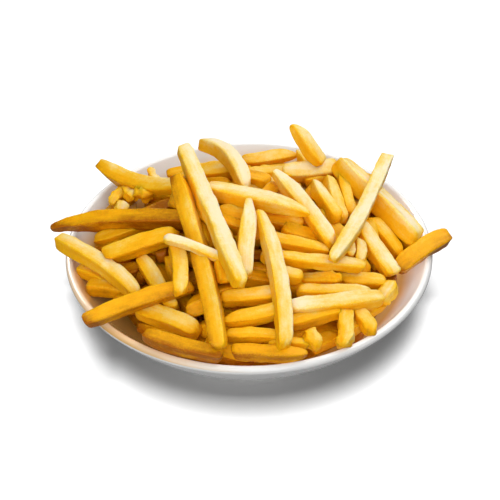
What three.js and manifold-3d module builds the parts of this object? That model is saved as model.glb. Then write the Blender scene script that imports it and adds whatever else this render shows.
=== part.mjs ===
// A portion of french fries heaped in a shallow white bowl.
//
// Millimetres, +Z up. The origin is the centre of the bowl's underside, on the table.
// The bowl is a turned shell. The heap is one solid: a domed core that fills the bowl,
// with every fry that shows on it fused on.

import * as THREE from "three";
import { mergeVertices } from "three/addons/utils/BufferGeometryUtils.js";
import Module from "manifold-3d";

const wasm = await Module();
wasm.setup();

// ---- driving dimensions ------------------------------------------------------------

const BOWL_DIAMETER = 185;
const BOWL_HEIGHT = 52;
const WALL = 4.2; // thickness of the bowl's wall at the lip
const FOOT_DIAMETER = 82;
const FOOT_WIDTH = 6; // of the ring that it stands on
const FOOT_RECESS = 2; // of the underside inside the ring
const CAP_RADIUS = 109; // radius of the sphere that the inside follows
const BOWL_SIDES = 44;

const FIT_GAP = 0.35; // between the heap and the bowl

const CORE_TOP = 21; // crown of the core above the rim
const CORE_EDGE = 13; // where the core meets the wall, below the rim
const CORE_SIDES = 24;

const BED_FRIES = 13; // laid by rule on the near half of the core, under the others
const BACK_ROWS = [
  // laid by rule across the far slope; lift is how far they stand over the core
  { radius: 26, lift: 4, count: 5 },
  { radius: 45, lift: 1, count: 7 },
  { radius: 62, lift: 1, count: 8 },
];
const SEED = 4711;

// ---- worked out from them ----------------------------------------------------------

const RIM = BOWL_DIAMETER / 2;
const LIP = WALL / 2;
const LIP_ANGLE = Math.asin((RIM - LIP) / (CAP_RADIUS + LIP));
const CAP_CENTRE = BOWL_HEIGHT - LIP + (CAP_RADIUS + LIP) * Math.cos(LIP_ANGLE);

// Height of the bowl's inside at a distance from the axis, pulled in by a gap.
function insideHeight(radius, gap = 0) {
  return CAP_CENTRE - Math.sqrt((CAP_RADIUS - gap) ** 2 - radius ** 2);
}

// Distance from the axis at which the inside, pulled in by a gap, reaches a height.
function insideRadius(height, gap = 0) {
  return Math.sqrt((CAP_RADIUS - gap) ** 2 - (CAP_CENTRE - height) ** 2);
}

// ---- helpers -----------------------------------------------------------------------

// Repeatable draws between two values.
function makeDraw(seed) {
  let state = seed;
  return (low, high) => {
    state = (state * 16807) % 2147483647;
    return low + ((high - low) * state) / 2147483647;
  };
}

function toSolid(geometry) {
  const bare = geometry.clone();
  bare.deleteAttribute("normal");
  bare.deleteAttribute("uv");
  const merged = mergeVertices(bare, 1e-4);
  return new wasm.Manifold(
    new wasm.Mesh({
      numProp: 3,
      vertProperties: new Float32Array(merged.attributes.position.array),
      triVerts: new Uint32Array(merged.index.array),
    }),
  );
}

function toGeometry(solid) {
  const mesh = solid.getMesh();
  const geometry = new THREE.BufferGeometry();
  geometry.setAttribute("position", new THREE.BufferAttribute(mesh.vertProperties, 3));
  geometry.setIndex(new THREE.BufferAttribute(mesh.triVerts, 1));
  geometry.computeVertexNormals();
  return geometry;
}

// Turns a closed outline of [radius, height] pairs about the upright axis.
function turned(outline, sides) {
  const points = outline.map(([radius, height]) => new THREE.Vector2(radius, height));
  return new THREE.LatheGeometry(points, sides).rotateX(Math.PI / 2);
}

// ---- the bowl ----------------------------------------------------------------------

function bowlOutline() {
  const foot = FOOT_DIAMETER / 2;
  const outline = [
    [0, FOOT_RECESS],
    [foot - FOOT_WIDTH - FOOT_RECESS, FOOT_RECESS],
    [foot - FOOT_WIDTH, 0],
    [foot, 0],
    [foot + 1, 1],
  ];

  // outer wall: a larger sphere about the same centre, from the foot to the lip
  const outer = CAP_RADIUS + WALL;
  const start = Math.asin((foot + 1.6) / outer);
  const wallSteps = 8;
  for (let i = 0; i <= wallSteps; i += 1) {
    const angle = start + ((LIP_ANGLE - start) * i) / wallSteps;
    outline.push([outer * Math.sin(angle), CAP_CENTRE - outer * Math.cos(angle)]);
  }

  // the rounded lip
  const lipSteps = 5;
  for (let i = 1; i < lipSteps; i += 1) {
    const angle = LIP_ANGLE - Math.PI / 2 + (Math.PI * i) / lipSteps;
    outline.push([
      RIM - LIP + LIP * Math.cos(angle),
      BOWL_HEIGHT - LIP + LIP * Math.sin(angle),
    ]);
  }

  // the inside, from the lip down to the middle
  const insideSteps = 10;
  for (let i = 0; i <= insideSteps; i += 1) {
    const angle = LIP_ANGLE * (1 - i / insideSteps);
    outline.push([CAP_RADIUS * Math.sin(angle), CAP_CENTRE - CAP_RADIUS * Math.cos(angle)]);
  }
  outline[outline.length - 1][0] = 0;
  return outline;
}

function makeBowl() {
  const geometry = turned(bowlOutline(), BOWL_SIDES);
  const material = new THREE.MeshStandardMaterial({
    color: 0xf1efec,
    roughness: 0.2,
    metalness: 0,
  });
  const mesh = new THREE.Mesh(geometry, material);
  mesh.name = "bowl";
  return mesh;
}

// ---- one fry -----------------------------------------------------------------------

const SQUARE = [[0.95, 0.95]]; // a quarter of a plain square section
const EASED = [[1, 0.66], [0.66, 1]]; // the same with its edge taken off
const BLUNT = [0.86, 0.86];

// A cut potato stick between two ends: a square rod, bowed sideways by `bend` and
// drooping or arching by `arch`. `tips` gives the share of the thickness left at either
// end, and `quarter` a quarter of its section.
function makeFry({ from, to, thick, bend = 0, arch = 0, tips = BLUNT, quarter = EASED }) {
  const start = new THREE.Vector3(...from);
  const end = new THREE.Vector3(...to);
  const along = end.clone().sub(start).normalize();
  const side = new THREE.Vector3(-along.y, along.x, 0).normalize();
  const up = along.clone().cross(side);
  const straight = Math.abs(bend) + Math.abs(arch) < 0.8;
  const stations = straight ? [0, 0.06, 0.94, 1] : [0, 0.06, 0.35, 0.65, 0.94, 1];
  const section = [];
  for (let turn = 0; turn < 4; turn += 1) {
    const cos = Math.cos((turn * Math.PI) / 2);
    const sin = Math.sin((turn * Math.PI) / 2);
    for (const [u, v] of quarter) {
      section.push([u * cos - v * sin, u * sin + v * cos]);
    }
  }
  const sides = section.length;
  const vertices = [];
  for (const t of stations) {
    const q = 2 * t - 1;
    const bow = 1 - q * q;
    const centre = start.clone().lerp(end, t);
    centre.addScaledVector(side, bend * bow);
    centre.addScaledVector(up, arch * bow);
    const ends = t < 0.5 ? tips[0] : tips[1];
    const share = Math.abs(q) > 0.95 ? ends : Math.min(1, 0.3 + ends);
    const half = (thick / 2) * (Math.abs(q) < 0.8 ? 1 : share);
    for (const [u, v] of section) {
      const point = centre.clone();
      point.addScaledVector(side, u * half);
      point.addScaledVector(up, v * half);
      vertices.push(point.x, point.y, point.z);
    }
  }
  const faces = [];
  for (let ring = 0; ring < stations.length - 1; ring += 1) {
    for (let k = 0; k < sides; k += 1) {
      const a = ring * sides + k;
      const b = ring * sides + ((k + 1) % sides);
      faces.push(a, b, b + sides);
      faces.push(a, b + sides, a + sides);
    }
  }
  const last = (stations.length - 1) * sides;
  for (let k = 1; k < sides - 1; k += 1) {
    faces.push(0, k + 1, k);
    faces.push(last, last + k, last + k + 1);
  }
  return new wasm.Manifold(
    new wasm.Mesh({
      numProp: 3,
      vertProperties: new Float32Array(vertices),
      triVerts: new Uint32Array(faces),
    }),
  );
}

// ---- the fries that are laid by hand -----------------------------------------------

// Each row is one fry: x, y and height above the rim of either end of its middle line,
// then its thickness, its sideways bow, its arch and the share left at its tips.

// The ones that show between others.
const UNDER = [
  [61, 6, 10, 74, -15, 3, 7.5],
  [69, 16, 8, 83, -9, 1, 8],
  [44, -38, 8, 66, -36, 4, 7.5],
  [69, -37, 5, 63, -47, 1, 7],
  [-54, 39, 4, -25, 17, 16, 7.5],
  [-67, 43, 4, -67, 25, 5, 7.5],
  [-63, 33, 6, -50, 29, 10, 7],
  [-77, 1, 2, -45, 3, 13, 7.5],
  [-84, -16, -2, -67, -33, -3, 7],
  [-80, -28, -4, -59, -36, -3, 7],
  [-53, -21, 8, -36, -56, 6, 7.5],
  [-71, -19, 9, -35, -18, 21, 8.5],
  [-53, 56, 9, -48, 40, 8, 6],
  [-43, 40, 11, -28, 39, 15, 6.5],
  [-25, 38, 17, -4, 37, 20, 7],
  [-3, 55, 13, 26, 61, 12, 7, 0, 0, [0.9, 0.4]],
  [0, 37, 17, 26, 46, 13, 7],
  [18, 34, 20, 46, 47, 14, 8.5],
  [28, 61, 14, 31, 44, 16, 6],
  [49, 40, 14, 51, 5, 14, 6.5],
  [41, 30, 20, 47, -3, 17, 6.5, 0, 0, [0.6, 0.9]],
  [33, 24, 22, 44, -6, 20, 7, 0, 0, [0.4, 0.9]],
  [-15, -6, 25, 26, -12, 21, 8],
  [8, -25, 24, 38, -30, 19, 6.5, 0, 0, [0.9, 0.6]],
  [6, -35, 21, 19, -34, 16, 6.5],
  [9, -44, 18, 25, -47, 17, 6.5],
  [24, -40, 10, 44, -43, 12, 6.5],
  [23, -51, 12, 58, -49, 8, 6],
  [18, -64, 13, 63, -50, 6, 7.5],
  [15, -39, 23, 55, -36, 14, 6],
  // along the front
  [16, -70, 8, 43, -60, 7, 6.5],
  [-13, -59, 14, 19, -52, 12, 7],
  [-12, -70, 10, 14, -64, 12, 7, 0, 0, [0.45, 1]],
  [-11, -75, 6, 14, -77, 6, 6],
  [9, -79, 4, 27, -79, 3, 4.5],
  [27, -73, 6, 32, -80, 2, 7],
  [-53, -53, 3, -24, -70, 4, 8.5],
  [-49, -73, 5, -13, -87, 4, 7],
  [-8, -83, 3, 26, -85, 3, 6.5, 0, 0, [0.9, 0.5]],
  [46, -59, 5, 43, -80, 3, 8],
  [52, -56, 3, 57, -70, 2, 7],
];

// The ones that lie open on top.
const OVER = [
  // across the left
  [-101, 13, 2, -31, -9, 23, 8.5, 1, 1.5, [0.4, 0.9]],
  [-79, 60, 9, -29, 24, 19, 8, -2.5, -4.5],
  [-77, -66, 7, -27, -49, 14, 8, 1, 1],
  [-36, -30, 24, -32, -60, 19, 7.5, 1],
  [-96, -1, 5, -54, -44, 5, 8, 2, 1.5],
  // across the right
  [73, -21, 1, 100, -1, 5, 9, 1],
  [56, -7, 18, 70, -32, 6, 6.5, -1.5, -1, [0.6, 1]],
  [47, 46, 18, 84, -8, 9, 10.5],
  [52, -21, 19, 51, -34, 17, 6],
  // over the crown
  [23, 51, 38, 38, 41, 21, 7, 0, 0, [0.45, 1]],
  [-20, 6, 30, 29, -17, 32, 8.5, 1, 1.5, [0.9, 0.35]],
  [-24, 60, 21, -1, 13, 26, 8, 4, 2.5],
  [13, 18, 32, 40, -27, 22, 7.5, 1, 0, [0.55, 0.95]],
  [0, -9, 35, -2, -52, 23, 7.5, 0, 0, [0.4, 0.9]],
  [5, -18, 35, 16, -85, 8, 8, 2.5, 0, [0.5, 0.95]],
  [73, 51, 17, 39, -46, 27, 7.5, 1.5, 0, [0.95, 0.7]],
  [-35, 9, 36, -14, -87, 9, 8.5, 1.5],
  [-40, -34, 31, -12, -44, 26, 4.5, 1, 1],
  [-33, 31, 39, -4, -65, 28, 8, 1],
];

function laidFries(rows, quarter) {
  return rows.map(([x1, y1, h1, x2, y2, h2, thick, bend = 0, arch = 0, tips]) => ({
    from: [x1, y1, BOWL_HEIGHT + h1],
    to: [x2, y2, BOWL_HEIGHT + h2],
    thick,
    bend,
    arch,
    tips,
    quarter,
  }));
}

// ---- the fries that are laid by rule -----------------------------------------------

const CORE_RADIUS = insideRadius(BOWL_HEIGHT - CORE_EDGE, FIT_GAP);
const GOLDEN_SHARE = (Math.sqrt(5) - 1) / 2;

// Height of the core's top at a distance from the axis.
function coreHeight(radius) {
  const share = radius / CORE_RADIUS;
  return BOWL_HEIGHT + CORE_TOP - (CORE_TOP + CORE_EDGE) * share * share;
}

// A fry of random length and thickness lying on the core, roughly across the slope.
function drawnFry(draw, radius, angle, lift) {
  const x = radius * Math.cos(angle);
  const y = radius * Math.sin(angle);
  const heading = angle + Math.PI / 2 + draw(-0.5, 0.5);
  const half = draw(42, 64) / 2;
  const thick = draw(6.5, 8.5);
  const reach = CORE_RADIUS - thick / 2;
  const middle = coreHeight(radius) + lift;
  const [from, to] = [-half, half].map((way) => {
    const px = x + way * Math.cos(heading);
    const py = y + way * Math.sin(heading);
    const inward = Math.min(1, reach / Math.hypot(px, py));
    const own = coreHeight(Math.hypot(px, py) * inward) + lift;
    return [px * inward, py * inward, own + 0.4 * (middle - own)];
  });
  return { from, to, thick, quarter: SQUARE };
}

// Spread over the near half of the core like the seeds of a sunflower.
function bedFries(draw) {
  const fries = [];
  for (let i = 0; i < BED_FRIES; i += 1) {
    const radius = CORE_RADIUS * (0.55 + (0.38 * (i + 0.5)) / BED_FRIES);
    const angle = -Math.PI / 2 + Math.PI * (((i * GOLDEN_SHARE) % 1) * 1.1 - 0.55);
    fries.push(drawnFry(draw, radius, angle, draw(1, 5)));
  }
  return fries;
}

// Rows across the far slope, each an arc about the axis.
function backFries(draw) {
  const fries = [];
  for (const { radius, lift, count } of BACK_ROWS) {
    for (let i = 0; i < count; i += 1) {
      const angle = Math.PI * (0.5 + ((i + 0.5) / count - 0.5) * 0.95);
      fries.push(drawnFry(draw, radius, angle, lift + draw(-1.5, 1.5)));
    }
  }
  return fries;
}

// ---- the heap ----------------------------------------------------------------------

// The core: the space inside the bowl, domed over the rim.
function makeCore() {
  const outline = [];
  const bottom = FIT_GAP;
  const under = 5;
  for (let i = 0; i <= under; i += 1) {
    const radius = (CORE_RADIUS * i) / under;
    outline.push([radius, insideHeight(radius, bottom)]);
  }
  const over = 5;
  for (let i = over - 1; i >= 0; i -= 1) {
    const radius = (CORE_RADIUS * i) / over;
    outline.push([radius, coreHeight(radius)]);
  }
  return toSolid(turned(outline, CORE_SIDES));
}

// Everything that must stay clear of the bowl: its wall and lip, a gap thicker.
function makeKeepOut() {
  const outline = [[0, 0]];
  outline.push([RIM + FIT_GAP, 0]);
  outline.push([RIM + FIT_GAP, BOWL_HEIGHT - LIP]);
  outline.push([RIM - LIP * 0.3, BOWL_HEIGHT + FIT_GAP]);
  outline.push([RIM - LIP * 1.7, BOWL_HEIGHT + FIT_GAP]);
  const radius = CAP_RADIUS - FIT_GAP;
  const steps = 10;
  for (let i = 0; i <= steps; i += 1) {
    const angle = LIP_ANGLE * (1 - i / steps);
    outline.push([radius * Math.sin(angle), CAP_CENTRE - radius * Math.cos(angle)]);
  }
  return toSolid(turned(outline, BOWL_SIDES));
}

// Joins the solids two by two.
function fuse(solids) {
  let level = solids;
  while (level.length > 1) {
    const next = [];
    for (let i = 0; i < level.length; i += 2) {
      next.push(i + 1 < level.length ? level[i].add(level[i + 1]) : level[i]);
    }
    level = next;
  }
  return level[0];
}

// The outer skin of the main body, without loose scraps and with its hollows filled.
function largestBody(solid) {
  const bodies = solid.decompose();
  bodies.sort((a, b) => b.volume() - a.volume());
  return bodies[0];
}

function makeHeap() {
  const draw = makeDraw(SEED);
  const fries = [
    ...laidFries(UNDER, SQUARE),
    ...laidFries(OVER, EASED),
    ...bedFries(draw),
    ...backFries(draw),
  ];
  const pieces = [makeCore(), ...fries.map(makeFry)];
  const heap = largestBody(fuse(pieces).subtract(makeKeepOut()));
  const material = new THREE.MeshStandardMaterial({
    color: 0xe9b04a,
    roughness: 0.55,
    metalness: 0,
  });
  const mesh = new THREE.Mesh(toGeometry(heap), material);
  mesh.name = "fries_heap";
  return mesh;
}

// ---- the whole portion -------------------------------------------------------------

const group = new THREE.Group();
group.add(makeBowl());
group.add(makeHeap());

export default group;
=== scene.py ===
"""Dresses a portion of french fries: a glazed white bowl and a loose heap of real fries.

Lengths are millimetres inside the classes and metres on every mesh, light and camera.
+Z is up and -Y is the near side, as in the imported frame.
"""

import logging
import math
import random
from dataclasses import dataclass, field, replace
from enum import Enum
from typing import Any, Sequence

import bpy
import numpy as np
from mathutils import Matrix, Vector


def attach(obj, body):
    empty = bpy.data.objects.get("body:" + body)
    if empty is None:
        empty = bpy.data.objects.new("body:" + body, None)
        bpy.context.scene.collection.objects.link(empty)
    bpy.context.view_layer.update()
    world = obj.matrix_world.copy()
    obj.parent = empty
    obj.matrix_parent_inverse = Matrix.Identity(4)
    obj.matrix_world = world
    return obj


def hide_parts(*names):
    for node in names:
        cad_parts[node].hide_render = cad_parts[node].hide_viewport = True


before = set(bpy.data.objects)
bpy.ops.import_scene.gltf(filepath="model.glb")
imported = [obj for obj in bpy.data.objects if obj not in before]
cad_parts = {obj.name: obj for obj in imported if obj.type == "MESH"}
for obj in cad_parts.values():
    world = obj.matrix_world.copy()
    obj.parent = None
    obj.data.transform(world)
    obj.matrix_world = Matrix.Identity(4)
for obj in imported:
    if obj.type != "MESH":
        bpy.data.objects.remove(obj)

LOG = logging.getLogger("portion")
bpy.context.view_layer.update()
BODY = "root"
MM = 0.001

Array = np.ndarray
Material = bpy.types.Material
Thing = bpy.types.Object
Colour = tuple[float, float, float]
Place = tuple[float, float, float]
Pair = tuple[float, float]
Outline = list[Pair]
Stops = tuple[tuple[float, Colour], ...]
Inputs = dict[int | str, Any]
Faces = list[Sequence[int]]


# ---- shader expressions


@dataclass(frozen=True)
class Value:
    """A socket of a node in a book, with the arithmetic that the finishes use."""

    book: "NodeBook"
    socket: bpy.types.NodeSocket

    def maths(self, operation: str, first: Any, second: Any) -> "Value":
        """Adds one Math node and gives its result."""
        return self.book.node("ShaderNodeMath", {"operation": operation}, {0: first, 1: second})

    def __add__(self, other: Any) -> "Value":
        """This plus another value."""
        return self.maths("ADD", self, other)

    def __radd__(self, other: Any) -> "Value":
        """Another value plus this."""
        return self.maths("ADD", other, self)

    def __sub__(self, other: Any) -> "Value":
        """This less another value."""
        return self.maths("SUBTRACT", self, other)

    def __rsub__(self, other: Any) -> "Value":
        """Another value less this."""
        return self.maths("SUBTRACT", other, self)

    def __mul__(self, other: Any) -> "Value":
        """This times another value."""
        return self.maths("MULTIPLY", self, other)

    def __rmul__(self, other: Any) -> "Value":
        """Another value times this."""
        return self.maths("MULTIPLY", other, self)

    def held(self) -> "Value":
        """This kept between 0 and 1."""
        return self.book.node("ShaderNodeClamp", {}, {0: self, 1: 0.0, 2: 1.0})


class NodeBook:
    """The nodes of one material."""

    def __init__(self, name: str) -> None:
        """Makes an empty node material.

        Args:
            name: the material's name.
        """
        self.material = bpy.data.materials.new(name)
        self.material.use_nodes = True
        self.tree = self.material.node_tree
        self.tree.nodes.clear()

    def node(
        self, kind: str, settings: dict[str, Any], inputs: Inputs, output: int | str = 0
    ) -> Value:
        """Adds any node.

        Args:
            kind: Blender's type name.
            settings: properties that are set first.
            inputs: numbers, colours or Values for its sockets, by name or place.
            output: the socket that is given back.

        Returns:
            The chosen output.
        """
        made = self.tree.nodes.new(kind)
        for key, setting in settings.items():
            setattr(made, key, setting)
        for key, given in inputs.items():
            socket = made.inputs[key]
            if isinstance(given, Value):
                self.tree.links.new(given.socket, socket)
            elif socket.type == "RGBA":
                socket.default_value = (*given[:3], 1.0)
            else:
                socket.default_value = given
        if not len(made.outputs):
            return Value(self, made.inputs[0])
        return Value(self, made.outputs[output])

    def attribute(self, name: str, output: str = "Fac") -> Value:
        """A mesh attribute."""
        return self.node("ShaderNodeAttribute", {"attribute_name": name}, {}, output)

    def stretched(self, vector: Value, scale: Place) -> Value:
        """A vector times a scale of its own along each axis."""
        inputs = {0: vector, 1: scale}
        return self.node("ShaderNodeVectorMath", {"operation": "MULTIPLY"}, inputs)

    def parts(self, vector: Value) -> list[Value]:
        """The three parts of a vector."""
        first = self.node("ShaderNodeSeparateXYZ", {}, {0: vector})
        return [Value(self, output) for output in first.socket.node.outputs]

    def noise(self, vector: Value, scale: float, detail: float, rough: float = 0.5) -> Value:
        """Soft noise between 0 and 1, with a number of features to each unit."""
        inputs = {"Vector": vector, "Scale": scale, "Detail": detail, "Roughness": rough}
        return self.node("ShaderNodeTexNoise", {}, inputs)

    def mixed(self, factor: Any, low: Any, high: Any) -> Value:
        """A colour between two others."""
        inputs = {0: factor, 6: low, 7: high}
        return self.node("ShaderNodeMix", {"data_type": "RGBA"}, inputs, 2)

    def ramp(self, factor: Value, stops: Stops) -> Value:
        """A colour from a ramp.

        Args:
            factor: the place on the ramp.
            stops: places and colours, from low to high.

        Returns:
            The colour there.
        """
        ramped = self.node("ShaderNodeValToRGB", {}, {0: factor})
        elements = ramped.socket.node.color_ramp.elements
        while len(elements) < len(stops):
            elements.new(0.5)
        for element, (place, colour) in zip(elements, stops):
            element.position = place
            element.color = (*colour, 1.0)
        return ramped

    def bump(self, strength: float, deep: float, height: Value) -> Value:
        """A normal from a height, which counts at full where it is so many mm deep."""
        inputs = {"Strength": strength, "Distance": deep * MM, "Height": height}
        return self.node("ShaderNodeBump", {}, inputs)

    def surface(self, inputs: Inputs) -> Material:
        """The material, ended with one Principled shader that has these inputs."""
        shader = self.node("ShaderNodeBsdfPrincipled", {}, inputs)
        self.node("ShaderNodeOutputMaterial", {}, {"Surface": shader})
        return self.material


# ---- finishes


@dataclass(frozen=True)
class FriedPotato:
    """The crisp, slightly oily skin of fried potato, from cream to brown.

    Args:
        name: the material's name.
        rough: mean roughness.
        oil: weight of the film of oil.
        stops: colours from raw to burnt.
    """

    name: str
    rough: float
    oil: float = 0.05
    stops: Stops = (
        (0.00, (0.98, 0.80, 0.51)),
        (0.12, (0.98, 0.735, 0.33)),
        (0.24, (0.98, 0.65, 0.16)),
        (0.38, (0.98, 0.55, 0.036)),
        (0.50, (0.96, 0.48, 0.006)),
        (0.64, (0.88, 0.42, 0.003)),
        (0.80, (0.68, 0.305, 0.002)),
        (1.00, (0.42, 0.13, 0.001)),
    )

    def material(self) -> Material:
        """Makes the skin: long streaks, browned patches and blots, pores and grain."""
        book = NodeBook(self.name)
        skin = book.attribute("skin", "Vector")
        streaks = book.noise(book.stretched(skin, (0.05, 0.42, 0.42)), 1.0, 4.0, 0.6)
        patches = book.noise(book.stretched(skin, (0.055, 0.10, 0.10)), 1.0, 3.0)
        blots = book.noise(book.stretched(skin, (0.12, 0.22, 0.22)), 1.0, 3.0, 0.55)
        pores = book.noise(skin, 1.3, 3.0, 0.65)
        grain = book.noise(skin, 0.42, 3.0, 0.6)
        # the tone carries each fry's browning together with its painted light and shade
        level = book.attribute("tone")
        browned = (patches, 0.40), (streaks, 0.44), (blots, 0.34), (grain, 0.20), (pores, 0.16)
        for noise, gain in browned:
            level = level + (noise - 0.5) * gain
        level = level + book.attribute("edge") * ((pores - 0.5) * 0.4 + 0.07)
        colour = book.ramp(level.held(), self.stops)
        rough = (grain - 0.5) * 0.35 + (pores - 0.5) * 0.2 + self.rough
        height = streaks * 0.55 + grain * 0.65 + pores * 0.22
        inputs = {
            "Base Color": colour,
            "Roughness": rough,
            "Normal": book.bump(0.65, 0.9, height),
            "Subsurface Weight": 0.6,
            "Subsurface Radius": (1.0, 0.80, 0.35),
            "Subsurface Scale": 3.0 * MM,
            "Specular IOR Level": 0.10,
            "Coat Weight": self.oil,
            "Coat Roughness": 0.32,
        }
        return book.surface(inputs)


@dataclass(frozen=True)
class Glaze:
    """White glaze over stoneware, bare where the foot stands.

    Args:
        name: the material's name.
        white: the glaze's colour.
        cloud: where it runs a little darker.
        clay: the bare clay's colour.
        oil: a warm tint under the film of frying oil, partly painted reflected light and shade
            from the fries.
        low_shade: dark brown painted shade low on the inside, under the fries.
        bare_height: height under which the foot is unglazed.
        rim_height: height of the rim.
        oil_depth: how far under the rim the film is full.
    """

    name: str
    white: Colour = (0.82, 0.815, 0.80)
    cloud: Colour = (0.7913, 0.786475, 0.772)
    clay: Colour = (0.62, 0.55, 0.47)
    oil: Colour = (0.74, 0.44, 0.15)
    low_shade: Colour = (0.36, 0.19, 0.035)
    bare_height: float = 0.9
    rim_height: float = 52.0
    oil_depth: float = 8.0

    def material(self) -> Material:
        """Makes the glaze: slow ripples, specks, oil with painted reflected light and shade
        inside, a rough bare foot.
        """
        book = NodeBook(self.name)
        place = book.node("ShaderNodeTexCoord", {}, {}, "Object")
        across, away, height = book.parts(place)
        ripples = book.noise(place, 38.0, 2.0)
        clouds = book.noise(place, 16.0, 3.0)
        specks = book.noise(place, 900.0, 2.0, 0.7)
        edge = (self.bare_height * MM - height) * (4.0 / MM) + 0.5
        bare = (edge + (specks - 0.5) * 1.2).held()
        glazed = book.mixed(clouds, self.white, self.cloud)
        facing = book.parts(book.node("ShaderNodeTexCoord", {}, {}, "Normal"))
        inside = (facing[2] * 8.0 - 1.0).held()
        depth = (self.rim_height * MM - height) * (1.0 / MM / self.oil_depth)
        # the oil tint: partly a film of frying oil, partly painted reflected light and shade
        # from the fries, uneven across the wall
        uneven = (clouds - 0.5) * 1.1 + across * away * 140.0 - across * 4.0 - away * 2.0
        film = (depth + uneven - 0.25).held() * inside
        # painted shade: dark brown low on the inside, most towards -X and the near side, under
        # the fries
        thick = ((depth - across * 12.0 - away * 6.0 - 1.9) * 0.5).held() * inside
        oiled_and_shaded = book.mixed(thick, book.mixed(film, glazed, self.oil), self.low_shade)
        colour = book.mixed(bare, oiled_and_shaded, self.clay)
        rough = (clouds - 0.5) * 0.08 + 0.13 + bare * 0.6
        relief = ripples * 0.8 + specks * 0.03 + bare * specks
        inputs = {
            "Base Color": colour,
            "Roughness": rough,
            "Normal": book.bump(0.25, 0.5, relief),
            "IOR": 1.52,
            "Coat Weight": 0.3,
            "Coat Roughness": 0.06,
        }
        return book.surface(inputs)


# ---- the bowl


def linked(name: str, data: bpy.types.ID) -> Thing:
    """Makes an object of a mesh, light or camera and puts it in the scene."""
    thing = bpy.data.objects.new(name, data)
    bpy.context.scene.collection.objects.link(thing)
    return thing


def mesh_object(name: str, points: Array, faces: Faces, material: Material) -> Thing:
    """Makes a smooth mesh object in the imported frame.

    Args:
        name: the piece's name.
        points: vertices in millimetres.
        faces: vertex numbers of each face.
        material: its finish.

    Returns:
        The linked object.
    """
    mesh = bpy.data.meshes.new(name)
    mesh.from_pydata((points * MM).tolist(), [], faces)
    mesh.polygons.foreach_set("use_smooth", [True] * len(mesh.polygons))
    mesh.materials.append(material)
    mesh.update()
    return linked(name, mesh)


def turned(outline: Outline, sides: int) -> tuple[Array, Faces]:
    """Turns an outline about the upright axis.

    Args:
        outline: (radius, height) from the axis at the bottom, round, to the axis.
        sides: steps of a full turn.

    Returns:
        Vertices and faces of a closed solid.
    """
    points = [[0.0, 0.0, outline[0][1]], [0.0, 0.0, outline[-1][1]]]
    inner = outline[1:-1]
    for step in range(sides):
        angle = 2 * math.pi * step / sides
        cos, sin = math.cos(angle), math.sin(angle)
        points += [[radius * cos, radius * sin, height] for radius, height in inner]
    faces: Faces = []
    count = len(inner)
    for step in range(sides):
        here, there = 2 + step * count, 2 + ((step + 1) % sides) * count
        faces.append([0, there, here])
        faces.append([1, here + count - 1, there + count - 1])
        for k in range(count - 1):
            faces.append([here + k, there + k, there + k + 1, here + k + 1])
    return np.array(points), faces


def arc(centre: Pair, radius: float, low: float, high: float, steps: int) -> Outline:
    """Points of an arc between two angles, which count up from level outward."""
    angles = [low + (high - low) * step / steps for step in range(steps + 1)]
    return [
        (centre[0] + radius * math.cos(angle), centre[1] + radius * math.sin(angle))
        for angle in angles
    ]


@dataclass(frozen=True)
class BowlSizes:
    """The bowl's driving sizes, the same as its solid's; rim and foot are radii."""

    rim: float = 92.5
    height: float = 52.0
    wall: float = 4.2
    foot: float = 41.0
    foot_width: float = 6.0
    foot_recess: float = 2.0
    cap_radius: float = 109.0

    @property
    def lip(self) -> float:
        """Radius of the rounded lip."""
        return self.wall / 2

    @property
    def lip_angle(self) -> float:
        """Angle from straight down, at the sphere's centre, of the lip's middle."""
        return math.asin((self.rim - self.lip) / (self.cap_radius + self.lip))

    @property
    def cap_centre(self) -> float:
        """Height of the centre of the spheres that the wall follows."""
        reach = (self.cap_radius + self.lip) * math.cos(self.lip_angle)
        return self.height - self.lip + reach

    def inside_height(self, radius: float, gap: float = 0.0) -> float:
        """Height of the inside at a distance from the axis, pulled in by a gap."""
        return self.cap_centre - math.sqrt((self.cap_radius - gap) ** 2 - radius**2)

    def inside_radius(self, height: float, gap: float = 0.0) -> float:
        """Distance from the axis at which the inside reaches a height."""
        return math.sqrt((self.cap_radius - gap) ** 2 - (self.cap_centre - height) ** 2)


@dataclass
class Bowl:
    """The turned, glazed bowl."""

    sizes: BowlSizes
    finish: Glaze
    sides: int = 192
    edge: float = 0.7
    fillet: float = 1.1
    lip_steps: int = 14
    outside_steps: int = 36
    inside_steps: int = 48

    def outline(self) -> Outline:
        """Section of the wall: recess, foot ring, outside, lip and inside."""
        size, half = self.sizes, math.pi / 2
        foot, inner = size.foot, size.foot - size.foot_width
        outer = size.cap_radius + size.wall
        line: Outline = [(0.0, size.foot_recess), (inner - 2.6, size.foot_recess)]
        line += arc((inner - 0.6, self.fillet), self.fillet, -math.pi, -half, 4)[1:]
        line += arc((foot - self.edge, self.edge), self.edge, -half, 0.0, 4)
        line.append((foot + 0.05, 1.5))
        start = math.asin((foot + 1.6) / outer)
        for step in range(self.outside_steps + 1):
            angle = start + (size.lip_angle - start) * step / self.outside_steps
            line.append(self._on(outer, angle))
        middle, turn = (size.rim - size.lip, size.height - size.lip), size.lip_angle
        line += arc(middle, size.lip, turn - half, turn + half, self.lip_steps)[1:-1]
        for step in range(self.inside_steps + 1):
            angle = size.lip_angle * (1 - step / self.inside_steps)
            line.append(self._on(size.cap_radius, angle))
        return line

    def _on(self, radius: float, angle: float) -> Pair:
        """A point of a sphere about the wall's centre."""
        return radius * math.sin(angle), self.sizes.cap_centre - radius * math.cos(angle)

    def build(self) -> Thing:
        """Makes the bowl and puts it in its solid's place."""
        points, faces = turned(self.outline(), self.sides)
        piece = mesh_object("glazed_bowl", points, faces, self.finish.material())
        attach(piece, BODY)
        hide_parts("bowl")
        return piece


# ---- one fry


class Tone(Enum):
    """The three kinds of fry in the heap, each with its upper bound of browning."""

    PALE = 0.27
    GOLDEN = 0.5
    BROWNED = 9.0

    @classmethod
    def of(cls, browning: float) -> "Tone":
        """The kind that a browning falls in."""
        return next(tone for tone in cls if browning <= tone.value)


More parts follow.
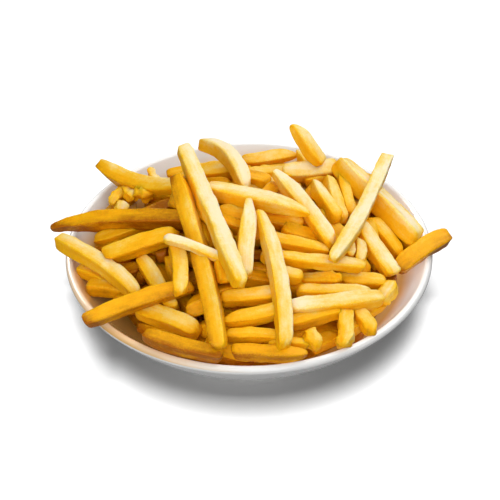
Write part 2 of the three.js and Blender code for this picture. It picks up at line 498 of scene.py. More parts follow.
@dataclass(frozen=True)
class Fry:
    """A cut stick of potato between two ends, in millimetres.

    Args:
        start: middle of one end.
        end: middle of the other.
        thick: width of its square section.
        tone: browning from 0, raw, to 1, burnt.
        roll: turn about its own length in degrees, its top towards +side.
        bow: sideways bow at its middle.
        arch: upward bow at its middle.
        tips: share of the thickness left at either end.
        fade: what the browning gains from start to end.
        crust: how crumbly either end is.
        burn: how much browner either end is.
        shade: how far it lies covered, from 0 to 1; that share of its painted light is taken
            off.
    """

    start: Place
    end: Place
    thick: float
    tone: float = 0.4
    roll: float = 0.0
    bow: float = 0.0
    arch: float = 0.0
    tips: Pair = (0.86, 0.86)
    fade: float = 0.0
    crust: Pair = (0.0, 0.0)
    burn: Pair = (0.0, 0.0)
    shade: float = 0.0

    @property
    def length(self) -> float:
        """Distance between its ends."""
        return math.dist(self.start, self.end)


class Ripple:
    """Smooth repeatable noise: a sum of sine waves in many directions."""

    WAVES = 9

    def __init__(self, draw: random.Random) -> None:
        """Draws the waves.

        Args:
            draw: seeded draws.
        """
        waves = range(self.WAVES)
        ways = np.array([[draw.gauss(0, 1) for _ in range(3)] for _ in waves])
        lengths = np.array([draw.uniform(0.6, 1.5) for _ in waves])
        self.ways = ways / np.linalg.norm(ways, axis=1)[:, None] * lengths[:, None]
        self.phases = np.array([draw.uniform(0, 2 * math.pi) for _ in waves])

    def __call__(self, points: Array, size: float) -> Array:
        """The noise, about -1 to 1, at points, with features of a size."""
        waves = np.sin(points @ self.ways.T * (2 * math.pi / size) + self.phases)
        return waves.sum(axis=-1) / math.sqrt(self.WAVES) * 0.8


def heap_piece(
    name: str, points: Array, faces: Faces, finish: FriedPotato, layers: dict[str, Array]
) -> Thing:
    """Makes a piece of the heap, with what its skin reads at each vertex.

    Args:
        name: the piece's name.
        points: vertices in millimetres.
        faces: vertex numbers of each face.
        finish: its skin.
        layers: the "tone", the nearness of an "edge" and the place in the "skin".

    Returns:
        The piece, in its solid's place.
    """
    piece = mesh_object(name, points, faces, finish.material())
    for layer_name, values in layers.items():
        kind, key = ("FLOAT_VECTOR", "vector") if layer_name == "skin" else ("FLOAT", "value")
        layer = piece.data.attributes.new(layer_name, kind, "POINT")
        layer.data.foreach_set(key, values.astype(np.float32).ravel())
    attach(piece, BODY)
    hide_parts("fries_heap")
    return piece


def spun(u: Any, v: Any, cos: Any, sin: Any) -> tuple[Any, Any]:
    """A pair of measures after a turn with this cosine and sine."""
    return u * cos - v * sin, u * sin + v * cos


@dataclass
class FryBatch:
    """Gathers the fries of one kind into one mesh.

    Args:
        name: the piece's name.
        finish: its skin.
        sun: the way to the light; faces that look that way are painted paler, as painted light.
        corner: share of a half side that each edge is rounded by.
        scorch: browning that the rim of a cut gains.
        bulge: how far a cut face swells.
        crumbly: how far crust and burn reach from an end.
        step: distance between rings.
    """

    name: str
    finish: FriedPotato
    sun: Place = (0.50, 0.10, 0.86)
    corner: float = 0.23
    scorch: float = 0.16
    bulge: float = 0.55
    crumbly: float = 7.0
    step: float = 2.3
    count: int = 0
    fries: int = 0
    faces: list[Array] = field(default_factory=list)
    sheets: dict[str, list[Array]] = field(
        default_factory=lambda: {"body": [], "tone": [], "edge": [], "skin": []}
    )

    def section(self) -> Array:
        """A unit square section with rounded corners, 8 points a side."""
        inner = 1 - self.corner
        quarter = [(1.0, share * inner) for share in (-0.6, -0.2, 0.2, 0.6)]
        quarter += arc((inner, inner), self.corner, 0.0, math.pi / 2, 3)
        quarters = ((1, 0), (0, 1), (-1, 0), (0, -1))
        return np.array([spun(u, v, cos, sin) for cos, sin in quarters for u, v in quarter])

    def stations(self, length: float, step: float) -> Array:
        """Distances along a fry of its rings, close together at the rounded ends."""
        near = [0.0, 0.4, 1.1, 2.3]
        steps = max(6, round((length - 2 * near[-1]) / step))
        middle = np.linspace(near[-1], length - near[-1], steps + 1)[1:-1]
        return np.array([*near, *middle, *(length - back for back in reversed(near))])

    def share(self, fry: Fry, along: Array) -> Array:
        """Share of the full thickness at distances along a fry."""
        share = np.ones_like(along)
        for away, tip in zip((along, fry.length - along), fry.tips):
            reach = (0.12 + 0.35 * (1 - tip)) * fry.length
            share *= 1 - (1 - tip) * np.clip(1 - away / reach, 0, 1) ** 1.3
            share *= 1 - 0.24 * np.exp(-away / 0.7) - 0.07 * np.exp(-away / 3.0)
        return share

    def add(self, fry: Fry) -> None:
        """Adds one fry.

        Args:
            fry: what it is.
        """
        draw = random.Random(1000 * self.fries + round(97 * fry.thick + 13 * fry.length))
        ripple, browning = Ripple(draw), Ripple(draw)
        start, end = Vector(fry.start), Vector(fry.end)
        way = (end - start).normalized()
        level = Vector((-way.y, way.x, 0.0)).normalized()
        along, side, up = (np.array(axis) for axis in (way, level, way.cross(level)))
        section, length = self.section(), fry.length
        places = self.stations(length, self.step * (0.5 if max(fry.crust) > 0.4 else 1.0))
        from_ends = places, length - places
        t = places / length
        curve = 1 - (2 * t - 1) ** 2
        bow, arch = fry.bow + draw.uniform(-0.8, 0.8), fry.arch + draw.uniform(-0.6, 0.6)
        size = fry.thick / 2 * self.share(fry, places)
        wide, high = size * draw.uniform(0.96, 1.05), size * draw.uniform(0.92, 1.03)
        middle = np.stack([places, 0 * t, 0 * t], axis=1)
        wide = wide * (1 + 0.06 * ripple(middle + 40, 26))
        high = high * (1 + 0.055 * ripple(middle + 90, 22))
        corner = (np.abs(section).min(axis=1) / np.abs(section).max(axis=1)) ** 3
        hollow = 1 - draw.uniform(0.02, 0.085) * (1 - corner)
        u = wide[:, None] * (section[:, 0] * hollow)
        v = high[:, None] * (section[:, 1] * hollow)
        spot = np.stack([np.repeat(places[:, None], len(section), 1), u, v], axis=-1)
        # the cut faces stand a little askew
        slant = [(draw.uniform(-0.32, 0.32), draw.uniform(-0.32, 0.32)) for _ in range(2)]
        shift = np.zeros_like(u)
        for away, (lean_u, lean_v) in zip(from_ends, slant):
            shift += np.exp(-away / (0.45 * fry.thick))[:, None] * (lean_u * u + lean_v * v)
        falls = [np.exp(-((away / self.crumbly) ** 2))[:, None] for away in from_ends]
        relief = self.relief(fry, draw, ripple, spot, falls)
        relief *= np.minimum(1, np.minimum(*from_ends) / 1.5 + 0.25)[:, None]
        out = section / np.linalg.norm(section, axis=1)[:, None]
        turn = np.radians(draw.uniform(-7, 7) * (2 * t - 1) - fry.roll)[:, None]
        cos, sin = np.cos(turn), np.sin(turn)
        across, rise = spun(u + relief * out[:, 0], v + relief * out[:, 1], cos, sin)
        sway = draw.uniform(-0.6, 0.6) * np.sin(2 * math.pi * t)
        line = np.array(start) + along * places[:, None]
        line = line + side * (bow * curve + sway)[:, None] + up * (arch * curve)[:, None]
        body = line[:, None, :] + across[..., None] * side + rise[..., None] * up
        body += shift[..., None] * along
        out_u, out_v = spun(out[:, 0], out[:, 1], cos, sin)
        facing = (out_u[..., None] * side + out_v[..., None] * up) @ np.array(self.sun)
        # browning along the fry, by face and round the cuts, then painted light and shade by how
        # each face looks to the sun
        cuts = sum(np.exp(-away / 1.4) for away in from_ends)
        tone = fry.tone + fry.fade * (t - 0.5)[:, None] + self.scorch * cuts[:, None]
        by_face = np.repeat([draw.uniform(-0.05, 0.05) for _ in range(4)], 8)
        # painted light and shade: every face starts 0.17 browner, faces toward the sun are
        # painted up to 0.42 paler, less so where the fry lies covered
        sunlit_face = np.maximum(facing, 0) * (1 - fry.shade)
        tone = tone + by_face + 0.17 - 0.42 * sunlit_face + 0.08 * browning(spot, 30)
        # crusty and burnt ends; the burn is painted browner on faces turned from the sun and
        # paler on faces toward it, as painted light and shade
        for fall, crust, burn in zip(falls, fry.crust, fry.burn):
            tone = tone + (0.10 * crust + burn * (1.0 - 0.4 * facing)) * fall
        edge = np.repeat(corner[None, :], len(places), 0)
        sheets = {"body": body, "tone": tone[..., None], "edge": edge[..., None], "skin": spot}
        self._keep(sheets, along)

    @staticmethod
    def relief(
        fry: Fry, draw: random.Random, ripple: Ripple, spot: Array, falls: list[Array]
    ) -> Array:
        """Shallow dents, a few blisters and crumbly ends.

        Args:
            fry: what it is.
            draw: its draws.
            ripple: its noise.
            spot: its points, as if it were straight.
            falls: each ring's share of either end's crust.

        Returns:
            How far each point stands out.
        """
        relief = 0.18 * ripple(spot, 11) + 0.12 * ripple(spot + 70, 4.4)
        for _ in range(draw.randint(2, 6)):
            way = draw.uniform(0, 2 * math.pi)
            middle = np.array([draw.uniform(0.05, 0.95) * fry.length, 0, 0])
            middle[1:] = fry.thick / 2 * np.array([math.cos(way), math.sin(way)])
            far = ((spot - middle) ** 2).sum(axis=-1)
            relief += draw.uniform(0.2, 0.5) * np.exp(-far / (2 * draw.uniform(0.9, 1.9) ** 2))
        for fall, crust in zip(falls, fry.crust):
            relief += crust * fall * (0.6 * ripple(spot + 20, 7.0) + 0.5 * ripple(spot, 3.6))
        return relief

    def _keep(self, sheets: dict[str, Array], along: Array) -> None:
        """Stores a fry's rings and closes its two cut faces.

        Args:
            sheets: by name, what each point of each ring has.
            along: the fry's direction.
        """
        rings, sides = sheets["tone"].shape[:2]
        # each fry reads a part of the skin's noise of its own
        apart = np.array([300.0 * self.fries, 70.0 * (self.fries % 9), 0.0])
        for name, sheet in sheets.items():
            kept = [sheet.reshape(rings * sides, -1)]
            for ring, way in ((0, -1), (-1, 1)):
                middle = sheet[ring].mean(axis=0) - (self.scorch if name == "tone" else 0.0)
                inner = middle + (sheet[ring] - middle) * 0.55
                if name == "body":
                    out = along * (self.bulge * way)
                    inner, middle = inner + 0.8 * out, middle + out
                kept += [inner, middle[None, :]]
            self.sheets[name].append(np.concatenate(kept) + (apart if name == "skin" else 0.0))
        k = np.arange(sides)
        after = (k + 1) % sides

        def band(low: int, high: int) -> Array:
            """Faces between the rings that begin at two vertices."""
            return np.stack([low + k, low + after, high + after, high + k], axis=1)

        quads = [band(ring * sides, (ring + 1) * sides) for ring in range(rings - 1)]
        for cap, (ring, way) in enumerate(((0, -1), (rings - 1, 1))):
            inner = rings * sides + cap * (sides + 1)
            middle = np.full(sides, inner + sides)
            fan = np.stack([inner + k, inner + after, middle, middle], axis=1)
            quads += [band(ring * sides, inner)[:, ::way], fan[:, ::way]]
        self.faces.append(np.concatenate(quads) + self.count)
        self.count += len(self.sheets["body"][-1])
        self.fries += 1

    def build(self) -> Thing:
        """Makes the piece of all the fries that were added."""
        rows = np.concatenate(self.faces).tolist()
        faces = [list(dict.fromkeys(row)) for row in rows]
        layers = {name: np.concatenate(sheets) for name, sheets in self.sheets.items()}
        return heap_piece(self.name, layers.pop("body"), faces, self.finish, layers)


# ---- the heap


def laid(*row: float, **extra: Any) -> Fry:
    """A fry by the plan places and heights above the rim of its ends.

    Args:
        *row: across, away and height of one end, the same of the other, thickness,
            browning and, where it has them, its roll, bow and arch.
        **extra: any other field of a fry.

    Returns:
        The fry.
    """
    x1, y1, h1, x2, y2, h2, *rest = row
    rim = BowlSizes().height
    return Fry((x1, y1, rim + h1), (x2, y2, rim + h2), *rest, **extra)


BROWN_TIP, TANNED_TIP = (0.3, 0.0), (0.15, 0.0)

UNDER = (
    laid(61, 6, 10, 74, -15, 3, 8.5, 0.5, 15),
    laid(69, 16, 8, 83, -9, 1, 8.8, 0.52, 15),
    laid(44, -38, 8, 66, -36, 4, 7.5, 0.5, -15),
    laid(69, -37, 5, 63, -47, 1, 7, 0.26, -10, crust=(0.7, 0.7)),
    laid(-54, 39, 4, -25, 17, 16, 7.5, 0.52, -15),
    laid(-66, 44, 4, -71, 31, 3, 5, 0.34, crust=(1.2, 1.2)),
    laid(-67, 31, 4, -66, 21, 5, 6, 0.24, 20, crust=(1, 1)),
    laid(-64, 41, 6, -60, 31, 7, 5, 0.3, crust=(1.3, 1.3)),
    laid(-60, 34, 7, -49, 30, 10, 6, 0.38, -20, crust=(1.4, 1.4)),
    laid(-77, 1, 2, -45, 3, 13, 7.5, 0.6, -10),
    laid(-85, -15, -2, -69, -26, -3, 7, 0.44),
    laid(-80, -27, -4, -59, -33, -3, 7, 0.56),
    laid(-53, -21, 8, -36, -56, 6, 7.5, 0.46, -12),
    laid(-71, -19, 9, -35, -18, 21, 8.5, 0.46, -25),
    laid(-52, 54, 9, -48, 40, 8, 5, 0.28, crust=(1.4, 0.5)),
    laid(-35, 40, 13, -20, 39, 17, 6.5, 0.46, -15),
    laid(-25, 38, 17, -4, 37, 20, 7, 0.44, -15),
    laid(-3, 55, 13, 26, 61, 12, 7, 0.38, -25, tips=(0.9, 0.4)),
    laid(0, 37, 17, 26, 46, 13, 7, 0.44),
    laid(18, 34, 20, 46, 47, 14, 8.5, 0.27, -30),
    laid(28, 61, 14, 31, 44, 16, 6, 0.36),
    laid(49, 40, 14, 51, 5, 14, 6.5, 0.5, 15),
    laid(41, 30, 20, 47, -3, 17, 6.5, 0.34, 20, tips=(0.6, 0.9)),
    laid(33, 24, 22, 44, -6, 20, 7, 0.4, 20, tips=(0.4, 0.9)),
    laid(-15, -6, 25, 26, -12, 21, 8, 0.48, -20),
    laid(8, -25, 24, 38, -30, 19, 6.5, 0.44, -10, tips=(0.9, 0.6)),
    laid(6, -35, 21, 19, -34, 16, 6.5, 0.18, -10),
    laid(9, -44, 18, 25, -47, 17, 6.5, 0.22, -10, crust=(0, 0.5)),
    laid(24, -40, 10, 44, -43, 12, 6.5, 0.4, -10, crust=(0, 1.2)),
    laid(23, -51, 12, 58, -49, 8, 6, 0.3, -10),
    laid(18, -64, 13, 63, -50, 6, 7.5, 0.2, -14, fade=0.22),
    laid(15, -39, 23, 55, -36, 14, 6, 0.42, -10, fade=-0.2),
    # along the front
    laid(16, -70, 8, 43, -60, 7, 6.5, 0.48, -10),
    laid(-13, -59, 14, 19, -52, 12, 7, 0.5, -15),
    laid(-12, -70, 10, 14, -64, 12, 7, 0.46, -15, tips=(0.45, 1)),
    laid(-11, -75, 6, 14, -77, 6, 6, 0.5, -10),
    laid(9, -79, 4, 27, -79, 3, 4.5, 0.5),
    laid(27, -73, 6, 32, -80, 2, 7, 0.32, crust=(0.9, 0.9)),
    laid(-53, -53, 3, -24, -70, 4, 9, 0.4, -20),
    laid(-49, -73, 5, -13, -87, 4, 7, 0.86, -15, fade=0.1),
    laid(-8, -83, 3, 26, -85, 3, 6.5, 0.74, -10, fade=-0.3, tips=(0.9, 0.5)),
    laid(46, -59, 5, 43, -80, 3, 8, 0.36, crust=(0, 1.4)),
    laid(52, -56, 3, 57, -70, 2, 7, 0.42, crust=(0, 0.6)),
)

OVER = (
    # across the left
    laid(-101, 13, 2, -31, -9, 23, 8.5, 0.78, -22, 1, 1.5, tips=(0.4, 0.9), burn=BROWN_TIP),
    laid(-79, 60, 8, -29, 24, 19, 8.8, 0.45, -24, -2.5, -4.5, tips=(0.7, 1), burn=TANNED_TIP),
    laid(-77, -66, 7, -27, -49, 14, 8, 0.72, -30, 1, 1, crust=(0.4, 0), burn=BROWN_TIP),
    laid(-36, -30, 24, -32, -60, 19, 7.5, 0.44, 0, 1, fade=-0.2),
    laid(-96, -1, 5, -54, -44, 5, 8, 0.33, 0, 2, 1.5, burn=TANNED_TIP),
    # across the right
    laid(73, -21, 1, 100, -1, 5, 9, 0.71, -28, 1),
    laid(56, -7, 18, 70, -32, 6, 8.5, 0.33, 0, -1.5, -1, tips=(0.55, 1.05), crust=(0, 1.3)),
    laid(47, 46, 18, 84, -8, 9, 10.5, 0.34, 30),
    laid(48, -23, 19, 49, -31, 17, 4.5, 0.26, crust=(0.5, 0.5)),
    laid(54, -19, 17, 53, -33, 14, 5, 0.38, 15),
    # over the crown
    laid(23, 51, 38, 38, 41, 21, 7, 0.26, tips=(0.45, 1)),
    laid(-20, 6, 30, 29, -17, 32, 8.5, 0.34, 0, 1, 1.5, tips=(0.9, 0.35)),
    laid(-24, 60, 21, -1, 13, 26, 8, 0.19, 8, 4, 2.5, burn=(0.2, 0)),
    laid(13, 18, 32, 40, -27, 22, 7.8, 0.27, -6, 1, tips=(0.55, 0.95)),
    laid(0, -9, 35, -2, -52, 23, 7.5, 0.28, 10, tips=(0.4, 0.9)),
    laid(5, -18, 35, 16, -85, 8, 8, 0.29, 12, 2.5, tips=(0.5, 0.95)),
    laid(73, 51, 17, 39, -46, 27, 7.5, 0.27, 10, 1.5, tips=(0.95, 0.7)),
    laid(-35, 9, 36, -14, -87, 9, 8.5, 0.62, -25, 1.5, burn=BROWN_TIP),
    laid(-40, -34, 31, -12, -44, 26, 4.5, 0.16, -20, 1, 1, fade=0.3),
    laid(-33, 31, 39, -4, -65, 28, 8, 0.255, 6, 1),
)


class Lehmer:
    """The repeatable draws that also lay the solid's own fries."""

    def __init__(self, seed: int) -> None:
        """Starts the draws from a seed."""
        self.state = seed

    def __call__(self, low: float, high: float) -> float:
        """The next draw between two values."""
        self.state = self.state * 16807 % 2147483647
        return low + (high - low) * self.state / 2147483647


@dataclass
class Pile:
    """The fries that have been laid, for keeping clear of their middle lines."""

    fries: list[Fry] = field(default_factory=list)
    pushes: int = 40
    farthest: float = 7.0
    sinking: float = 0.35

    def lines(self, first: int | None = None) -> tuple[Array, Array, Array]:
        """Starts, ends and half thicknesses of all fries, or of the first few."""
        fries = self.fries[:first]
        starts = np.array([fry.start for fry in fries])
        ends = np.array([fry.end for fry in fries])
        return starts, ends, np.array([fry.thick / 2 for fry in fries])

    @staticmethod
    def apart(p: Array, q: Array, starts: Array, ends: Array) -> tuple[Array, Array]:
        """Closest approach of one line to many.

        Args:
            p: the line's start.
            q: its end.
            starts: the others' starts.
            ends: their ends.

        Returns:
            The share along the line and the vectors from the others there.
        """
        d, others, w = q - p, ends - starts, p - starts
        a, e = float(d @ d), (others**2).sum(axis=1)
        b, c, f = others @ d, w @ d, (others * w).sum(axis=1)
        bottom = np.maximum(a * e - b * b, 1e-9)
        s = np.clip((b * f - c * e) / bottom, 0, 1)
        t = np.clip((b * s + f) / e, 0, 1)
        s = np.clip((b * t - c) / a, 0, 1)
        return s, w + s[:, None] * d - t[:, None] * others

    def clear(self, fry: Fry, share: float) -> bool:
        """Whether a fry keeps a share of the full distance from all that are laid."""
        starts, ends, halves = self.lines()
        _, between = self.apart(np.array(fry.start), np.array(fry.end), starts, ends)
        far = np.linalg.norm(between, axis=1)
        return bool((far > share * (halves + fry.thick / 2)).all())

    def settled(self, fry: Fry) -> Fry:
        """Moves a fry out of those that are laid.

        Args:
            fry: where it would lie.

        Returns:
            The moved fry.
        """
        starts, ends, halves = self.lines()
        first = np.array([fry.start, fry.end])
        line = first.copy()
        for _ in range(self.pushes):
            s, between = self.apart(line[0], line[1], starts, ends)
            far = np.linalg.norm(between, axis=1)
            short = 0.95 * (halves + fry.thick / 2) - far
            worst = int(short.argmax())
            if short[worst] <= 0:
                break
            push = between[worst] / max(far[worst], 1e-6) * short[worst]
            push[2] -= self.sinking * short[worst]
            for end, near in enumerate((1 - s[worst], s[worst])):
                line[end] += push * min(1.0, 2 * near)
            line = first + np.clip(line - first, -self.farthest, self.farthest)
        return replace(fry, start=tuple(line[0]), end=tuple(line[1]))


@dataclass(frozen=True)
class HeapSizes:
    """The heap's driving sizes: its solid's, and its own from own_top on."""

    fit_gap: float = 0.35
    core_top: float = 21.0
    core_edge: float = 13.0
    bed_fries: int = 13
    back_rows: tuple[tuple[float, float, int], ...] = ((26, 4, 5), (45, 1, 7), (62, 1, 8))
    seed: int = 4711
    own_top: float = 6.0
    own_edge: float = 22.0
    own_gap: float = 1.0
    own_sides: int = 120
    reach: float = 6.0
    scatter: float = 84.0


@dataclass(frozen=True)
class Throw:
    """One round of throwing fries under the upper ones, or behind, along the far wall."""

    tries: int
    lengths: Pair
    apart: float
    seed: int
    behind: bool = False


@dataclass
class Heap:
    """The loose heap: its own low core, the fries that show and those under them."""

    sizes: HeapSizes
    bowl: BowlSizes
    finishes: dict[Tone, FriedPotato]
    core_finish: FriedPotato
    under_shade: float = 0.15
    pile: Pile = field(default_factory=Pile)

    @property
    def core_radius(self) -> float:
        """Where the solid's core meets the wall."""
        height = self.bowl.height - self.sizes.core_edge
        return self.bowl.inside_radius(height, self.sizes.fit_gap)

    def core_height(self, radius: float) -> float:
        """Height of the solid core's top at a distance from the axis."""
        size, share = self.sizes, radius / self.core_radius
        return self.bowl.height + size.core_top - (size.core_top + size.core_edge) * share**2

    def drawn(self, draw: Lehmer, radius: float, angle: float, lift: float, brown: float) -> Fry:
        """A fry of random length and thickness, roughly across the slope.

        Args:
            draw: the solid's draws.
            radius: of its middle's place.
            angle: of its middle's place.
            lift: how far it stands over the core.
            brown: how much browner than a fry on top, as painted shade for a fry that lies
                covered.

        Returns:
            The fry.
        """
        x, y = radius * math.cos(angle), radius * math.sin(angle)
        heading = angle + math.pi / 2 + draw(-0.5, 0.5)
        half = draw(42, 64) / 2
        thick = draw(6.5, 8.5)
        reach = self.core_radius - thick / 2
        middle = self.core_height(radius) + lift
        ends = []
        for way in (-half, half):
            px, py = x + way * math.cos(heading), y + way * math.sin(heading)
            inward = min(1.0, reach / math.hypot(px, py))
            own = self.core_height(math.hypot(px, py) * inward) + lift
            ends.append((px * inward, py * inward, own + 0.4 * (middle - own)))
        # a covered bed fry gets brown added to its tone as painted shade
        tone = 0.30 + brown + 0.26 * ((7.3 * thick + half) % 1.0)
        roll = (31.7 * thick) % 40 - 20
        return Fry(ends[0], ends[1], thick, tone, roll, shade=0.7 if brown else 0.1)

    def by_rule(self) -> list[Fry]:
        """The bed under the near side, then the rows across the far slope."""
        draw, size = Lehmer(self.sizes.seed), self.sizes
        golden = (math.sqrt(5) - 1) / 2
        fries = []
        for i in range(size.bed_fries):
            radius = self.core_radius * (0.55 + 0.38 * (i + 0.5) / size.bed_fries)
            angle = -math.pi / 2 + math.pi * (((i * golden) % 1) * 1.1 - 0.55)
            fries.append(self.drawn(draw, radius, angle, draw(1, 5), 0.34))
        for radius, lift, count in size.back_rows:
            for i in range(count):
                angle = math.pi * (0.5 + ((i + 0.5) / count - 0.5) * 0.95)
                fries.append(self.drawn(draw, radius, angle, lift + draw(-1.5, 1.5), 0.0))
        return fries

    def own_height(self, radius: float) -> float:
        """Height of the dressed core's top, which lies under all the fries."""
        size = self.sizes
        edge = self.bowl.inside_radius(self.bowl.height - size.own_edge, size.own_gap)
        fall = (size.own_top + size.own_edge) * (radius / edge) ** 2
        return self.bowl.height + size.own_top - fall

    def roof(self, x: float, y: float) -> float:
        """Height of the upper fries' underside over a place, or 0 where none lies."""
        starts, ends, halves = self.pile.lines(len(UNDER) + len(OVER))
        along, plan = ends - starts, (ends - starts)[:, :2]
        t = ((np.array([x, y]) - starts[:, :2]) * plan).sum(axis=1) / (plan**2).sum(axis=1)
        near = starts + np.clip(t, 0, 1)[:, None] * along
        covers = np.hypot(near[:, 0] - x, near[:, 1] - y) < self.sizes.reach
        return float(np.where(covers, near[:, 2] - halves, 0.0).max())

    def fits(self, fry: Fry) -> bool:
        """Whether a fry stays inside the bowl's wall and under the upper fries."""
        for share in (0.0, 0.5, 1.0):
            x, y, z = (a + (b - a) * share for a, b in zip(fry.start, fry.end))
            radius, half = math.hypot(x, y), fry.thick / 2
            low = min(z - 0.8 * half, self.bowl.height)
            if low < self.bowl.inside_height(0.0) + 2.0:
                return False
            if radius + 0.8 * half > self.bowl.inside_radius(low, self.sizes.own_gap):
                return False
            cover = 5.0 if y > 0 else 3.0
            open_top = self.core_height(min(radius, self.core_radius)) + cover
            if z > open_top and z > self.roof(x, y) - 0.6 * half:
                return False
            if z < self.own_height(radius) + 1.0:
                return False
        return True

    def fill(self, throw: Throw) -> None:
        """Throws fries and keeps those that fit.

        Args:
            throw: how many, of what length and where.
        """
        draw = random.Random(throw.seed)
        for _ in range(throw.tries):
            radius = self.sizes.scatter * math.sqrt(draw.random())
            angle, heading = draw.uniform(0, 2 * math.pi), draw.uniform(0, math.pi)
            if throw.behind:
                radius, angle = draw.uniform(52, 82), draw.uniform(0.05, 0.95) * math.pi
                heading = angle + math.pi / 2 + draw.uniform(-0.45, 0.45)
            x, y = radius * math.cos(angle), radius * math.sin(angle)
            top = self.core_height(min(radius, self.core_radius))
            z = top + draw.uniform(-9, 18)
            half, thick = draw.uniform(*throw.lengths) / 2, draw.uniform(6.4, 8.2)
            slope = draw.uniform(-0.22, 0.22) - 0.008 * radius * math.cos(heading - angle)
            step = np.array([math.cos(heading), math.sin(heading), slope]) * half
            middle = np.array([x, y, z])
            # painted shade: a fry that lies deeper is browner; painted light: paler towards +X,
            # the lit side; also paler at the back
            pale = 0.003 * x + (0.16 if y > 25 else 0.0)
            tone = min(max(0.48 + 0.018 * (top + 9.0 - z) - pale, 0.34), 0.70)
            tone, roll = tone + draw.uniform(-0.06, 0.06), draw.uniform(-30, 30)
            start, end = tuple(middle - step), tuple(middle + step)
            fry = Fry(start, end, thick, tone, roll, shade=0.7)
            if self.fits(fry) and self.pile.clear(fry, throw.apart):
                self.pile.fries.append(fry)

    def core(self) -> Thing:
        """The lumpy core that shows in the deepest gaps, dark brown as painted shade."""
        gap, low = self.sizes.own_gap, self.bowl.height - self.sizes.own_edge
        edge = self.bowl.inside_radius(low, gap)
        under = [edge * step / 12 for step in range(12)]
        over = [edge * (1 - step / 26) for step in range(27)]
        line: Outline = [(radius, self.bowl.inside_height(radius, gap)) for radius in under]
        line += [(radius, self.own_height(radius)) for radius in over]
        points, faces = turned(line, self.sizes.own_sides)
        ripple = Ripple(random.Random(5))
        top = points[:, 2] > low + 0.5
        lumps = 1.1 * ripple(points, 17) + 0.6 * ripple(points + 50, 8)
        points[:, 2] += np.where(top, lumps, 0)
        whole = np.ones(len(points))
        # painted shade: the core's dark brown tone stands where only shade shows between fries
        layers = {"tone": 0.78 * whole, "edge": 0.3 * whole, "skin": points}
        return heap_piece("fries_core", points, faces, self.core_finish, layers)

    def build(self) -> list[Thing]:
        """Lays every fry and makes the core and one piece of each kind."""
        fries = self.pile.fries
        fries += [replace(fry, shade=self.under_shade) for fry in UNDER]
        fries += OVER
        for fry in self.by_rule():
            moved = self.pile.settled(fry)
            if self.pile.clear(moved, 0.8):
                fries.append(moved)
        for throw in (
            Throw(9000, (46, 66), 0.72, 11),
            Throw(5000, (34, 56), 0.72, 14, behind=True),
            Throw(9000, (30, 48), 0.68, 12),
            Throw(9000, (18, 30), 0.62, 13),
            Throw(9000, (15, 24), 0.52, 15),
        ):
            self.fill(throw)
        LOG.info("%d fries", len(fries))
        batches = {
            tone: FryBatch(f"fries_{tone.name.lower()}", finish)
            for tone, finish in self.finishes.items()
        }
        for fry in fries:
            batches[Tone.of(fry.tone)].add(fry)
        return [self.core(), *(batch.build() for batch in batches.values())]


# ---- the studio


class Lit(Enum):
    """What a studio light shines on."""

    PORTION = "portion"
    BOWL = "bowl"
    FLOOR = "floor"


@dataclass(frozen=True)
class SoftBox:
    """A studio light with a flat panel that looks at a point."""

    name: str
    place: Place
    size: float
    power: float
    shines_on: Lit = Lit.PORTION
    target: Place = (0.0, 0.0, 0.04)
    only_own_shadow: bool = False
    wide: float = 1.0

    def build(self, lit: bpy.types.Collection) -> None:
        """Makes the light.

        Args:
            lit: what it shines on.
        """
        lamp = bpy.data.lights.new(self.name, "AREA")
        lamp.shape, lamp.size, lamp.size_y = "RECTANGLE", self.size * self.wide, self.size
        lamp.energy = self.power
        thing = linked(self.name, lamp)
        thing.location = self.place
        way = Vector(self.target) - Vector(self.place)
        thing.rotation_euler = way.to_track_quat("-Z", "Y").to_euler()
        thing.light_linking.receiver_collection = lit
        if self.only_own_shadow:
            thing.light_linking.blocker_collection = lit


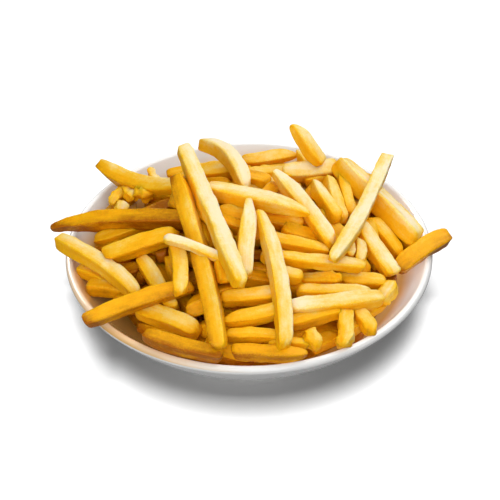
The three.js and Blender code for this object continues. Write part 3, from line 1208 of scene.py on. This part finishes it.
@dataclass(frozen=True)
class Studio:
    """A plain, matt white floor, soft light and the camera."""

    lights: tuple[SoftBox, ...]
    sky: float = 0.13
    white: Colour = (1.0, 1.0, 1.0)
    rough: float = 0.9
    floor_half: float = 4.0
    floor_drop: float = 0.05
    elevation: float = 38.52
    distance: float = 0.75
    lens: float = 106.5
    roll: float = 0.6
    look_at: Place = (0.0005, 0.0, 0.0485)

    def floor(self) -> Thing:
        """Makes the floor, just under the foot."""
        half = self.floor_half / MM
        corners = ((-half, -half), (half, -half), (half, half), (-half, half))
        points = np.array([(x, y, -self.floor_drop) for x, y in corners])
        inputs = {"Base Color": self.white, "Roughness": self.rough}
        finish = NodeBook("studio_white").surface(inputs)
        piece = mesh_object("studio_floor", points, [range(4)], finish)
        piece.visible_diffuse = piece.visible_glossy = False
        return piece

    def camera(self) -> None:
        """Makes the camera in front, looking down at the heap."""
        tilt = math.radians(self.elevation)
        back = Vector((0.0, -math.cos(tilt), math.sin(tilt)))
        lens = bpy.data.cameras.new("camera")
        lens.lens, lens.sensor_width = self.lens, 36.0
        lens.clip_start, lens.clip_end = 0.01, 20.0
        thing = linked("camera", lens)
        turn = (-back).to_track_quat("-Z", "Y").to_matrix().to_4x4()
        turn = turn @ Matrix.Rotation(math.radians(-self.roll), 4, "Z")
        place = Vector(self.look_at) + back * self.distance
        thing.matrix_world = Matrix.Translation(place) @ turn
        bpy.context.scene.camera = thing

    def sky_light(self) -> None:
        """Makes the even light from all round."""
        world = bpy.data.worlds.new("studio")
        world.use_nodes = True
        ground = world.node_tree.nodes["Background"]
        ground.inputs["Color"].default_value = (1.0, 1.0, 1.0, 1.0)
        ground.inputs["Strength"].default_value = self.sky
        bpy.context.scene.world = world

    def build(self, pieces: Sequence[Thing]) -> None:
        """Sets the whole studio.

        Args:
            pieces: the object's own pieces, the bowl first.
        """
        bpy.context.scene.view_settings.view_transform = "Standard"
        self.camera()
        self.sky_light()
        groups = {Lit.PORTION: pieces, Lit.BOWL: pieces[:1], Lit.FLOOR: [self.floor()]}
        lit = {group: bpy.data.collections.new(f"lit_{group.value}") for group in Lit}
        for group, things in groups.items():
            for thing in things:
                lit[group].objects.link(thing)
        for light in self.lights:
            light.build(lit[light.shines_on])


# ---- the whole portion


def main() -> None:
    """Builds the studio, the bowl and the heap, and reports each piece."""
    logging.basicConfig(level=logging.INFO, format="%(name)s: %(message)s")
    bowl = BowlSizes()
    pieces = [Bowl(bowl, Glaze("white_glaze")).build()]
    finishes = {
        Tone.PALE: FriedPotato("pale_fry", rough=0.50),
        Tone.GOLDEN: FriedPotato("golden_fry", rough=0.45),
        Tone.BROWNED: FriedPotato("browned_fry", rough=0.40, oil=0.08),
    }
    heap = Heap(HeapSizes(), bowl, finishes, FriedPotato("heap_core", rough=0.6, oil=0.0))
    pieces += heap.build()
    Studio(
        (
            SoftBox("key", (0.45, 0.20, 0.75), 0.5, 2.6),
            SoftBox("overhead", (0.05, -0.10, 1.4), 2.4, 10.6),
            SoftBox("front", (-0.25, -1.0, 0.60), 1.5, 12.8),
            SoftBox("back", (0.25, 1.1, 0.50), 1.2, 6.0),
            SoftBox("table_bounce", (0.0, -0.1, -0.6), 1.6, 1.45, only_own_shadow=True),
            SoftBox("across", (-0.55, 0.75, 0.6), 0.5, 6.5, Lit.BOWL, only_own_shadow=True),
            SoftBox("floor_light", (0.0, -2.75, 5.1), 1.9, 420.0, Lit.FLOOR, wide=0.7),
        ),
    ).build(pieces)
    for piece in pieces:
        LOG.info("%s: %d faces", piece.name, len(piece.data.polygons))


if __name__ == "__main__":
    main()
